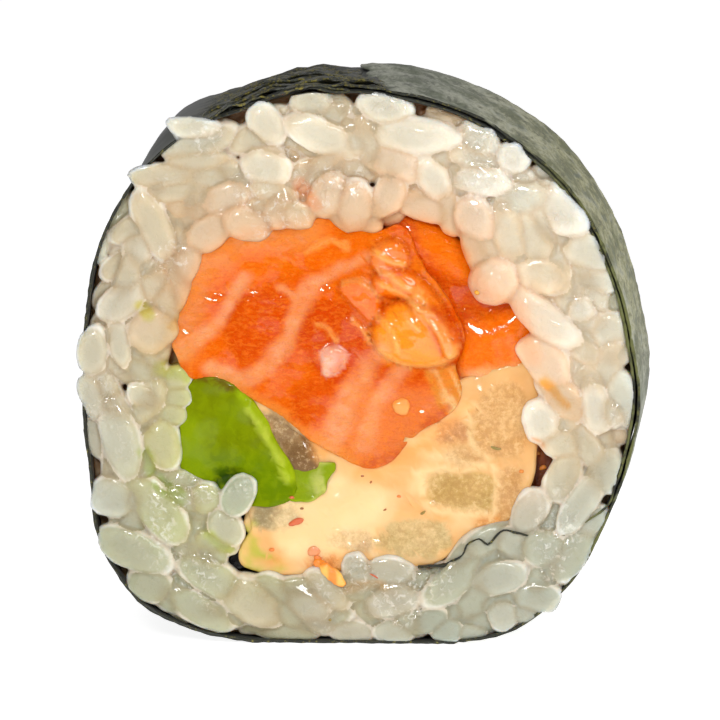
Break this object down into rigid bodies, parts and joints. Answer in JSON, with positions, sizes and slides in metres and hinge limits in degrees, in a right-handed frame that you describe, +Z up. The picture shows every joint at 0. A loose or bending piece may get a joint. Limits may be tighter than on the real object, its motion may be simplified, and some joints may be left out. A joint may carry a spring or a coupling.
{
  "type": "nori-wrapped sushi roll piece",
  "caption": "Thick cut piece of a sushi roll: nori outside, rice, salmon, avocado, cucumber and pale sauce inside, standing on its flat side.",
  "frame": {"origin": "under the middle of the piece, at the height of the surface that it stands on", "axes": "+Z up, the shown cut face looks along -Y, +X to its right, the roll's own length runs along Y"},
  "size_m": [0.0462, 0.0246, 0.0465],
  "materials": {
    "nori": "damp seaweed sheet, near black with olive flecks, matt grey-green bloom outside",
    "rice": "translucent sticky cooked grains with small wet highlights",
    "salmon": "wet raw salmon, orange with pale pink fat lines",
    "avocado": "smooth, soft and slightly shiny yellow-green flesh",
    "cucumber": "watery translucent flesh, speckled under a film of sauce",
    "cream": "smooth thick pale orange sauce with small red and orange specks"
  },
  "bodies": {
    "root": {"nori": "nori", "rice": "rice", "salmon_slab": "salmon", "salmon_side": "salmon", "avocado": "avocado", "avocado_bit": "avocado", "cucumber_top": "cucumber", "cucumber_left": "cucumber", "cucumber_low": "cucumber", "cucumber_mid": "cucumber", "cucumber_side": "cucumber", "cucumber_right": "cucumber", "cream": "cream"}
  },
  "joints": []
}
